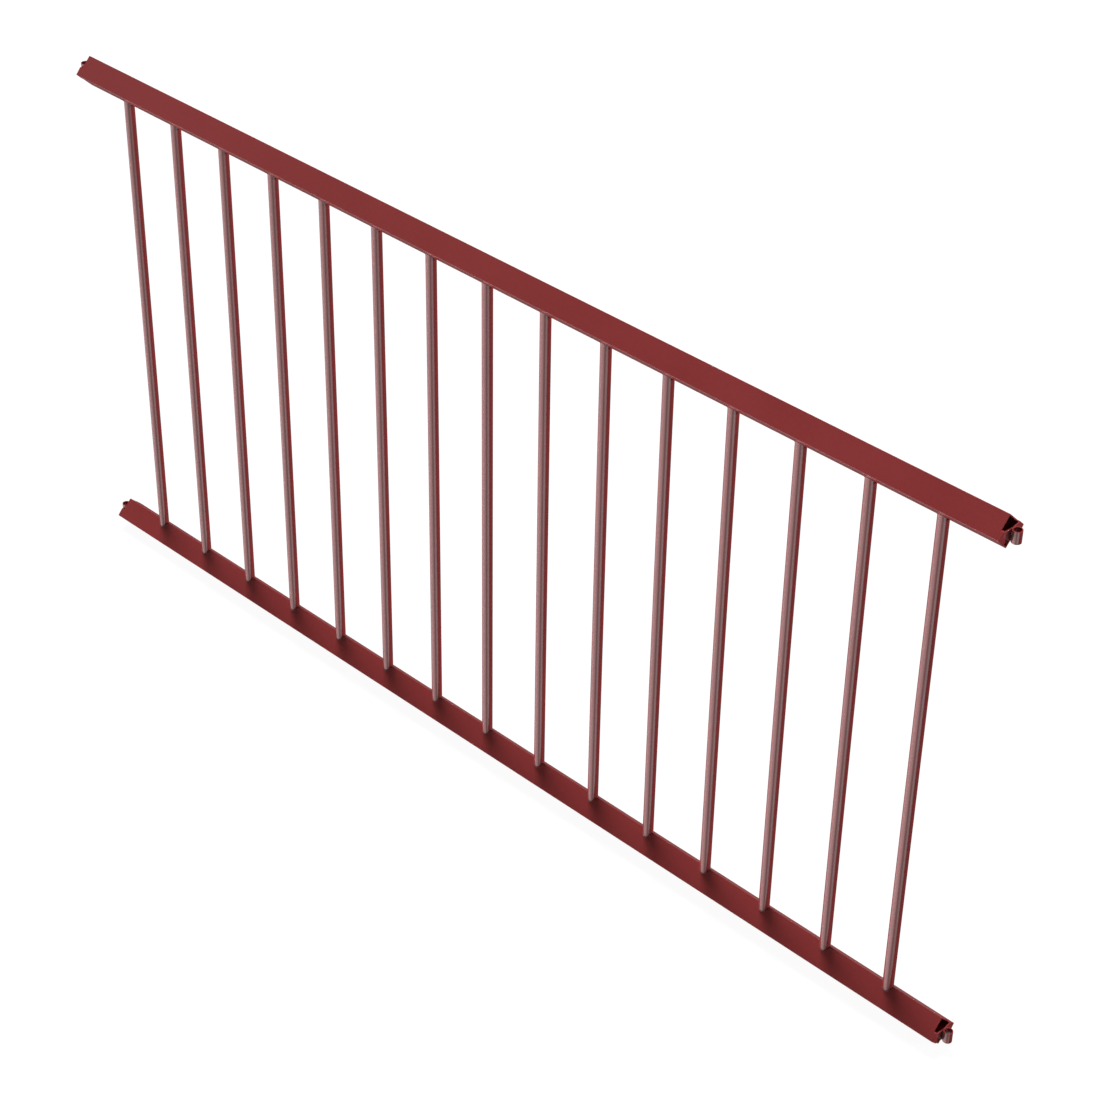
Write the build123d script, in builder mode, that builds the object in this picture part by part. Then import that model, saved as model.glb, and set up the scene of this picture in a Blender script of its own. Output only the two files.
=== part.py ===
from build123d import *
import os
from math import sqrt

# Barred fence panel, in millimetres. It stands along X, with its front towards -Y.
# The origin is on the axis of the bottom left eye, level with the lower face of that eye.

# Rails: square tubes set on edge, with a corner pointing straight up
rail_side = 40.0
rail_wall = 2.0
rail_corner_radius = 1.0
rail_length = 1956.0
rail_spacing = 937.5

# Upright bars between the rails
bar_diameter = 18.0
bar_pitch = 125.0
bar_count = 15

# Straps and eyes at the rail ends are equally tall
fitting_height = 20.0

# Bent straps across the rail ends
strap_wall = 2.0
strap_shoulder = 5.6
strap_reach = 8.0
strap_corner_radius = 1.0

# Eyes: short upright tubes let into the straps
eye_diameter = 15.0
eye_bore = 12.0
eye_seat_depth = 1.0

# Places that follow from the sizes
half_diagonal = rail_side / sqrt(2)
eye_offset = strap_reach - eye_seat_depth + eye_diameter / 2
left_end = eye_offset
right_end = left_end + rail_length
bottom_level = fitting_height / 2
top_level = bottom_level + rail_spacing
first_bar = left_end + (rail_length - (bar_count - 1) * bar_pitch) / 2

rail_levels = {"bottom": bottom_level, "top": top_level}
rail_ends = {"left": (left_end, -1), "right": (right_end, 1)}


def across(x, z):
    """The upright plane across the panel at x, with its middle at height z and its normal along X."""
    return Plane(origin=(x, 0, z), x_dir=(0, 1, 0), z_dir=(1, 0, 0))


def save(piece, name):
    piece.label = name
    export_step(piece, f"parts/{name}.step")


def tube_outline(inset=0, mode=Mode.ADD):
    """The outer square of a rail on its corner, or the square that lies the inset further in."""
    side_length = rail_side - 2 * inset
    if inset < rail_corner_radius:
        RectangleRounded(side_length, side_length, rail_corner_radius - inset, rotation=45, mode=mode)
    else:
        Rectangle(side_length, side_length, rotation=45, mode=mode)


def make_rail(level):
    with BuildPart() as rail:
        with BuildSketch(across(left_end, level)):
            tube_outline()
            tube_outline(rail_wall, mode=Mode.SUBTRACT)
        extrude(amount=rail_length)
    return rail.part


def make_bar(x):
    """A round bar with both ends notched to sit over the corners of the rails."""
    with BuildPart() as bar:
        with BuildSketch(Plane((x, 0, bottom_level))):
            Circle(bar_diameter / 2)
        extrude(amount=rail_spacing)
        for level in rail_levels.values():
            with BuildSketch(across(x, level)):
                tube_outline()
            extrude(amount=bar_diameter, both=True, mode=Mode.SUBTRACT)
    return bar.part


def make_cap(end, side, level, inset, overrun):
    """The outer form of a strap, or with an inset the space inside it: a bowed block on the rail's own outline."""
    with BuildPart() as cap:
        with BuildSketch(Plane.XY.offset(level - fitting_height / 2)):
            with BuildLine():
                Polyline(
                    (end - side * overrun, -half_diagonal),
                    (end + side * (strap_shoulder - inset), -half_diagonal),
                    (end + side * (strap_reach - inset), 0),
                    (end + side * (strap_shoulder - inset), half_diagonal),
                    (end - side * overrun, half_diagonal),
                    close=True,
                )
            make_face()
        extrude(amount=fitting_height)
        with BuildSketch(across(end, level)):
            tube_outline(inset)
        extrude(amount=strap_reach, both=True, mode=Mode.INTERSECT)
        corner_radius = strap_corner_radius - inset
        if corner_radius > 0:
            nearest_bend = half_diagonal - inset * sqrt(2) - fitting_height / 2
            bends = cap.edges().filter_by(Axis.X, reverse=True).filter_by(
                lambda edge: side * (edge.center().X - end) > (strap_shoulder - inset) / 2
                and abs(edge.center().Y) > nearest_bend
            )
            fillet(bends, corner_radius)
    return cap.part


def make_strap(end, side, level):
    """A strap that goes on from the side corners of the rail and bows out across its open end to the eye."""
    outside = make_cap(end, side, level, 0, 0)
    inside = make_cap(end, side, level, strap_wall, strap_wall)
    with BuildPart() as strap:
        add(outside)
        add(inside, mode=Mode.SUBTRACT)
        with BuildSketch(Plane((end + side * eye_offset, 0, level))):
            Circle(eye_diameter / 2)
        extrude(amount=fitting_height, both=True, mode=Mode.SUBTRACT)
    return strap.part


def make_eye(end, side, level):
    with BuildPart() as eye:
        with BuildSketch(Plane((end + side * eye_offset, 0, level - fitting_height / 2))):
            Circle(eye_diameter / 2)
            Circle(eye_bore / 2, mode=Mode.SUBTRACT)
        extrude(amount=fitting_height)
    return eye.part


os.makedirs("parts", exist_ok=True)

for row, level in rail_levels.items():
    save(make_rail(level), f"{row}_rail")
    for hand, (end, side) in rail_ends.items():
        save(make_strap(end, side, level), f"{row}_{hand}_strap")
        save(make_eye(end, side, level), f"{row}_{hand}_eye")

for number in range(bar_count):
    save(make_bar(first_bar + number * bar_pitch), f"bar_{number + 1:02d}")
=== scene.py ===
import bpy
import math
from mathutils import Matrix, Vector


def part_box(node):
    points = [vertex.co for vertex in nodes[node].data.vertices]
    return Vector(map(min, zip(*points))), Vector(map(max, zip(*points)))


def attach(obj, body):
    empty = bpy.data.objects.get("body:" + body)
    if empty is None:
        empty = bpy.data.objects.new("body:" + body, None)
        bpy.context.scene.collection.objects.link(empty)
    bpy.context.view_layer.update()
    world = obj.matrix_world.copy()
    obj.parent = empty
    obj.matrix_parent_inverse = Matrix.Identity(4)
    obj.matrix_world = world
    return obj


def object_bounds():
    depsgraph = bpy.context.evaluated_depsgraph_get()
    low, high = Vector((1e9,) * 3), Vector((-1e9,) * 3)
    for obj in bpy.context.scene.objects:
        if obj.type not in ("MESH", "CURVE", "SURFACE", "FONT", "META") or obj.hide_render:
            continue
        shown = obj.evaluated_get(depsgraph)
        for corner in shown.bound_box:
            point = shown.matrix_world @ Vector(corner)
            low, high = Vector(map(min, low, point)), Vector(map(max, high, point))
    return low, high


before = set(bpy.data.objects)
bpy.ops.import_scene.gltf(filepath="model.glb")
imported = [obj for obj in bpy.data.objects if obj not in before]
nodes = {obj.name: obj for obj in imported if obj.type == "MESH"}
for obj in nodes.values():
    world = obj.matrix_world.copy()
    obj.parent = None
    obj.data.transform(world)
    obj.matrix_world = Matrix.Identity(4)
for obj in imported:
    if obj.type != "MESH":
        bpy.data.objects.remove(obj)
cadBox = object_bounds()
barNames = [name for name in nodes if name.startswith("bar")]
scene = bpy.context.scene
white = (1.0, 1.0, 1.0, 1.0)
print("frame loaded:", len(nodes), "nodes")


def direction(side, height):
    # degrees: side counts from +X towards +Y, height from the horizon
    turn, lift = math.radians(side), math.radians(height)
    return Vector((math.cos(turn) * math.cos(lift), math.sin(turn) * math.cos(lift), math.sin(lift)))


# small helpers for shader nodes

noiseRange = (0.3, 0.7)  # most of a noise lies between these values


def feed(tree, socket, value):
    # a link for what comes out of another node, else a plain value
    if isinstance(value, bpy.types.NodeSocket):
        tree.links.new(value, socket)
    else:
        socket.default_value = value


def arithmetic(tree, operation, first, second=0.0):
    node = tree.nodes.new("ShaderNodeMath")
    node.operation = operation
    feed(tree, node.inputs[0], first)
    feed(tree, node.inputs[1], second)
    return node.outputs["Value"]


def noise(tree, place, size, detail):
    # cloudy noise, with blotches about as wide as size in metres
    node = tree.nodes.new("ShaderNodeTexNoise")
    tree.links.new(place, node.inputs["Vector"])
    node.inputs["Scale"].default_value = 1 / size
    node.inputs["Detail"].default_value = detail
    return node.outputs["Fac"]


def spread(tree, value, low, high, smooth=False, source=noiseRange):
    # stretches the source range over low to high
    node = tree.nodes.new("ShaderNodeMapRange")
    node.interpolation_type = "SMOOTHSTEP" if smooth else "LINEAR"
    tree.links.new(value, node.inputs["Value"])
    node.inputs["From Min"].default_value, node.inputs["From Max"].default_value = source
    node.inputs["To Min"].default_value = low
    node.inputs["To Max"].default_value = high
    return node.outputs["Result"]


# dark red satin enamel

paintLook = {
    "deep": (0.203, 0.026, 0.026, 1.0),
    "pale": (0.231, 0.032, 0.032, 1.0),
    "cloudSize": 0.18,
    "cloudDetail": 2.0,
    "speckSize": 0.005,
    "speckDetail": 3.0,
    "speckShare": 0.3,         # of specks in the mix of clouds and specks
    "roughness": (0.19, 0.24),
    "streakWidth": 0.008,
    "streakLength": 0.12,
    "streakDetail": 2.0,
    "peelSize": 0.0024,        # orange peel of the sprayed coat
    "peelDetail": 1.0,
    "peelHeight": 0.000012,
    "edge": 0.0005,            # paint rounds the sharp edges
    "edgeSamples": 4,
    "ior": 2.0,
}


def makePaint(name, grain):
    # grain is the axis along which the streaks run
    paint = bpy.data.materials.new(name)
    paint.use_nodes = True
    tree = paint.node_tree
    shader = tree.nodes["Principled BSDF"]
    shader.inputs["IOR"].default_value = paintLook["ior"]
    place = tree.nodes.new("ShaderNodeTexCoord").outputs["Object"]

    # colour: wide clouds with fine specks
    clouds = noise(tree, place, paintLook["cloudSize"], paintLook["cloudDetail"])
    specks = noise(tree, place, paintLook["speckSize"], paintLook["speckDetail"])
    blend = tree.nodes.new("ShaderNodeMix")
    blend.inputs["Factor"].default_value = paintLook["speckShare"]
    tree.links.new(clouds, blend.inputs["A"])
    tree.links.new(specks, blend.inputs["B"])
    tint = tree.nodes.new("ShaderNodeMix")
    tint.data_type = "RGBA"
    tree.links.new(spread(tree, blend.outputs["Result"], 0.0, 1.0), tint.inputs["Factor"])
    tint.inputs["A"].default_value = paintLook["deep"]
    tint.inputs["B"].default_value = paintLook["pale"]
    tree.links.new(tint.outputs["Result"], shader.inputs["Base Color"])

    # gloss: long faint streaks
    stretch = tree.nodes.new("ShaderNodeMapping")
    tree.links.new(place, stretch.inputs["Vector"])
    squeeze = paintLook["streakWidth"] / paintLook["streakLength"]
    stretch.inputs["Scale"].default_value["XYZ".index(grain)] = squeeze
    streaks = noise(tree, stretch.outputs["Vector"], paintLook["streakWidth"], paintLook["streakDetail"])
    tree.links.new(spread(tree, streaks, *paintLook["roughness"]), shader.inputs["Roughness"])

    # surface: rounded edges and orange peel
    rounded = tree.nodes.new("ShaderNodeBevel")
    rounded.samples = paintLook["edgeSamples"]
    rounded.inputs["Radius"].default_value = paintLook["edge"]
    peel = tree.nodes.new("ShaderNodeBump")
    peel.inputs["Distance"].default_value = paintLook["peelHeight"]
    bumps = noise(tree, place, paintLook["peelSize"], paintLook["peelDetail"])
    tree.links.new(bumps, peel.inputs["Height"])
    tree.links.new(rounded.outputs["Normal"], peel.inputs["Normal"])
    tree.links.new(peel.outputs["Normal"], shader.inputs["Normal"])
    return paint


railPaint = makePaint("railPaint", "X")
barPaint = makePaint("barPaint", "Z")
for name, node in nodes.items():
    node.data.materials.clear()
    node.data.materials.append(barPaint if name in barNames else railPaint)
print("paint on")


# weld seams: thin rippled beads round both ends of each bar and beside the eyes

seamLook = {
    "barRadius": 0.001,
    "barStretch": 1.2,      # a bar's seam is about this much longer than the way round the bar
    "eyeRadius": 0.0006,
    "ripple": 0.1,          # share of the radius
    "ripplePitch": 0.002,
    "stepsPerRipple": 5,
    "sides": 8,
    "ridge": 0.0004,        # how far the rounded ridge of a rail lies under its sharp corner
}


def beadRing(run, closed, step, size):
    # the points round the bead at one step of its run
    count = len(run)
    point, outward = run[step]
    before = run[step - 1 if closed else max(step - 1, 0)][0]
    after = run[(step + 1) % count if closed else min(step + 1, count - 1)][0]
    along = (after - before).normalized()
    across = along.cross(outward).normalized()
    outward = across.cross(along)
    swell = math.sin(math.tau * step / seamLook["stepsPerRipple"])
    radius = size * (1 + seamLook["ripple"] * swell)
    if not closed:  # an open bead has round ends
        fromEnd = (min(step, count - 1 - step) + 0.5) / seamLook["stepsPerRipple"]
        radius *= math.sqrt(min(fromEnd, 1.0))
    turns = [math.tau * side / seamLook["sides"] for side in range(seamLook["sides"])]
    return [point + radius * (math.cos(turn) * outward + math.sin(turn) * across) for turn in turns]


def makeSeams(name, runs, size):
    # each run is a list of points, each with a direction that faces out of the bead
    points, faces = [], []
    sides = seamLook["sides"]
    for run, closed in runs:
        rings = []
        for step in range(len(run)):
            rings.append(list(range(len(points), len(points) + sides)))
            points += beadRing(run, closed, step, size)
        nextRings = rings[1:] + rings[:1] if closed else rings[1:]
        for ring, nextRing in zip(rings, nextRings):
            for side in range(sides):
                beside = (side + 1) % sides
                faces.append((ring[side], ring[beside], nextRing[beside], nextRing[side]))
        if not closed:
            faces += [rings[0][::-1], rings[-1]]
    mesh = bpy.data.meshes.new(name)
    mesh.from_pydata(points, [], faces)
    mesh.shade_smooth()
    mesh.materials.append(railPaint)
    seams = bpy.data.objects.new(name, mesh)
    scene.collection.objects.link(seams)
    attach(seams, "root")


def barRun(barName, railName, side):
    # the line where the bar meets the two slopes of the rail
    low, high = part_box(barName)
    railLow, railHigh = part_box(railName)
    middle, radius = (low.x + high.x) / 2, (high.x - low.x) / 2
    level = (railLow.z + railHigh.z) / 2
    corner = (railHigh.z - railLow.z) / 2 + seamLook["ridge"]
    seamLength = math.tau * radius * seamLook["barStretch"]
    steps = round(seamLength / seamLook["ripplePitch"]) * seamLook["stepsPerRipple"]
    run = []
    for step in range(steps):
        turn = math.tau * step / steps
        outward = Vector((math.cos(turn), math.sin(turn), 0.0))
        y = radius * math.sin(turn)
        height = corner - math.hypot(y, seamLook["ridge"])
        run.append((Vector((middle + radius * math.cos(turn), y, level + side * height)), outward))
    return run, True


def eyeRun(fitting, hand, front):
    # upright line where the eye leaves the strap, on its front or its back side
    eyeLow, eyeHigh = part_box(fitting + "_eye")
    strapLow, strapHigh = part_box(fitting + "_strap")
    middle, radius = (eyeLow.x + eyeHigh.x) / 2, (eyeHigh.y - eyeLow.y) / 2
    x = strapHigh.x if hand == "right" else strapLow.x
    y = front * math.sqrt(radius ** 2 - (x - middle) ** 2)
    low, high = eyeLow.z + seamLook["eyeRadius"], eyeHigh.z - seamLook["eyeRadius"]
    steps = round((high - low) / seamLook["ripplePitch"]) * seamLook["stepsPerRipple"]
    run = []
    for step in range(steps + 1):
        z = low + (high - low) * step / steps
        run.append((Vector((x, y, z)), Vector((0.0, float(front), 0.0))))
    return run, False


makeSeams("bottomSeams", [barRun(name, "bottom_rail", 1) for name in barNames], seamLook["barRadius"])
makeSeams("topSeams", [barRun(name, "top_rail", -1) for name in barNames], seamLook["barRadius"])
eyeRuns = []
for row in ("bottom", "top"):
    for hand in ("left", "right"):
        eyeRuns += [eyeRun(row + "_" + hand, hand, front) for front in (-1, 1)]
makeSeams("eyeSeams", eyeRuns, seamLook["eyeRadius"])
print("seams made")


# camera, at the angle of a true isometric view

cameraLook = {
    "side": -45.0,
    "height": math.degrees(math.atan(math.sqrt(0.5))),
    "place": (3.5569, -2.5656, 3.0434),
    "lens": 88.87,
    "sensor": 36.0,
    "shift": (0.0574, -0.0282),
    "farClip": 200.0,
}


def makeCamera():
    data = bpy.data.cameras.new("fenceCamera")
    data.lens = cameraLook["lens"]
    data.sensor_width = cameraLook["sensor"]
    data.shift_x, data.shift_y = cameraLook["shift"]
    data.clip_end = cameraLook["farClip"]
    camera = bpy.data.objects.new("fenceCamera", data)
    scene.collection.objects.link(camera)
    back = direction(cameraLook["side"], cameraLook["height"])
    camera.location = cameraLook["place"]
    camera.rotation_mode = "QUATERNION"
    camera.rotation_quaternion = back.to_track_quat("Z", "Y")
    scene.camera = camera


makeCamera()
print("camera set")


# studio: a dim dome with six soft boxes, three soft lamps and a pale floor

domeLook = {
    "base": 0.03,
    "softness": 10.0,  # width of the boxes' soft edges, in degrees
    "softBoxes": [
        {"side": (-180, -82), "height": (-68, -18), "level": 1.2},   # low, front left
        {"side": (-82, -50), "height": (-50, -18), "level": 0.5},    # low, in front
        {"side": (-48, -12), "height": (-46, -26), "level": 1.3},    # low, front right
        {"side": (60, 115), "height": (-22, 0), "level": 0.6},       # low, behind
        {"side": (-190, 190), "height": (62, 100), "level": 0.8},    # overhead
        {"side": (-190, -144), "height": (18, 48), "level": 0.1},    # high, far left
    ],
    "backdrop": {"side": (100, 200), "height": (-60, 30), "mirrored": 0.065},
}


def gate(tree, value, low, high):
    # 1 between low and high, with soft edges
    soft = domeLook["softness"] / 2
    rise = spread(tree, value, 0.0, 1.0, True, (low - soft, low + soft))
    fall = spread(tree, value, 1.0, 0.0, True, (high - soft, high + soft))
    return arithmetic(tree, "MULTIPLY", rise, fall)


def boxShape(tree, turn, lift, box):
    (left, right), (low, high) = box["side"], box["height"]
    shape = gate(tree, turn, left, right)
    if 180 < right < left + 360:  # the box runs on past the left of the dome
        shape = arithmetic(tree, "MAXIMUM", shape, gate(tree, turn, left - 360, right - 360))
    return arithmetic(tree, "MULTIPLY", shape, gate(tree, lift, low, high))


def makeDome():
    world = bpy.data.worlds.new("studioDome")
    scene.world = world
    world.use_nodes = True
    tree = world.node_tree
    tree.nodes.clear()
    parts = tree.nodes.new("ShaderNodeSeparateXYZ")
    tree.links.new(tree.nodes.new("ShaderNodeTexCoord").outputs["Generated"], parts.inputs["Vector"])
    turn = arithmetic(tree, "ARCTAN2", parts.outputs["Y"], parts.outputs["X"])
    turn = arithmetic(tree, "DEGREES", turn)
    lift = arithmetic(tree, "DEGREES", arithmetic(tree, "ARCSINE", parts.outputs["Z"]))
    light = domeLook["base"]
    for box in domeLook["softBoxes"]:
        shape = boxShape(tree, turn, lift, box)
        light = arithmetic(tree, "ADD", light, arithmetic(tree, "MULTIPLY", shape, box["level"]))
    # the camera sees plain white, and the satin paint mirrors some of it where the backdrop stands
    rays = tree.nodes.new("ShaderNodeLightPath").outputs
    seen = arithmetic(tree, "MAXIMUM", rays["Is Camera Ray"], rays["Is Transmission Ray"])
    backdrop = boxShape(tree, turn, lift, domeLook["backdrop"])
    mirrored = arithmetic(tree, "MULTIPLY", backdrop, domeLook["backdrop"]["mirrored"])
    mirrored = arithmetic(tree, "MULTIPLY", mirrored, rays["Is Glossy Ray"])
    pick = tree.nodes.new("ShaderNodeMix")
    tree.links.new(arithmetic(tree, "MAXIMUM", seen, mirrored), pick.inputs["Factor"])
    tree.links.new(light, pick.inputs["A"])
    pick.inputs["B"].default_value = 1.0
    background = tree.nodes.new("ShaderNodeBackground")
    background.inputs["Color"].default_value = white
    tree.links.new(pick.outputs["Result"], background.inputs["Strength"])
    output = tree.nodes.new("ShaderNodeOutputWorld")
    tree.links.new(background.outputs["Background"], output.inputs["Surface"])


lampLooks = {
    "keyLamp": {"side": 153, "height": 66, "width": 21, "strength": 4.7},
    "leftLamp": {"side": -135, "height": -30, "width": 36, "strength": 4.2},
    "rightLamp": {"side": 36, "height": 10, "width": 10, "strength": 3.3},
}


def makeLamp(name, look):
    data = bpy.data.lights.new(name, "SUN")
    data.energy = look["strength"]
    data.angle = math.radians(look["width"])
    lamp = bpy.data.objects.new(name, data)
    scene.collection.objects.link(lamp)
    lamp.rotation_mode = "QUATERNION"
    lamp.rotation_quaternion = direction(look["side"], look["height"]).to_track_quat("Z", "Y")
    lamp.visible_glossy = False  # the paint mirrors only the dome


floorLook = {"reach": 40.0, "shade": 0.06, "glow": 0.95}


def makeFloor():
    reach, level = floorLook["reach"], cadBox[0].z
    mesh = bpy.data.meshes.new("floor")
    corners = [(-reach, -reach), (reach, -reach), (reach, reach), (-reach, reach)]
    mesh.from_pydata([(x, y, level) for x, y in corners], [], [(0, 1, 2, 3)])
    floor = bpy.data.objects.new("floor", mesh)
    scene.collection.objects.link(floor)
    finish = bpy.data.materials.new("paleFloor")
    finish.use_nodes = True
    shader = finish.node_tree.nodes["Principled BSDF"]
    shade = floorLook["shade"]
    shader.inputs["Base Color"].default_value = (shade, shade, shade, 1.0)
    shader.inputs["Roughness"].default_value = 1.0
    shader.inputs["Specular IOR Level"].default_value = 0.0
    shader.inputs["Emission Color"].default_value = white
    shader.inputs["Emission Strength"].default_value = floorLook["glow"]
    mesh.materials.append(finish)
    # the floor shows the shadow of the panel, and the low lights shine through it
    floor.visible_diffuse = False
    floor.visible_glossy = False
    floor.visible_shadow = False


makeDome()
for name, look in lampLooks.items():
    makeLamp(name, look)
makeFloor()
scene.view_settings.view_transform = "Standard"
print("studio lit")
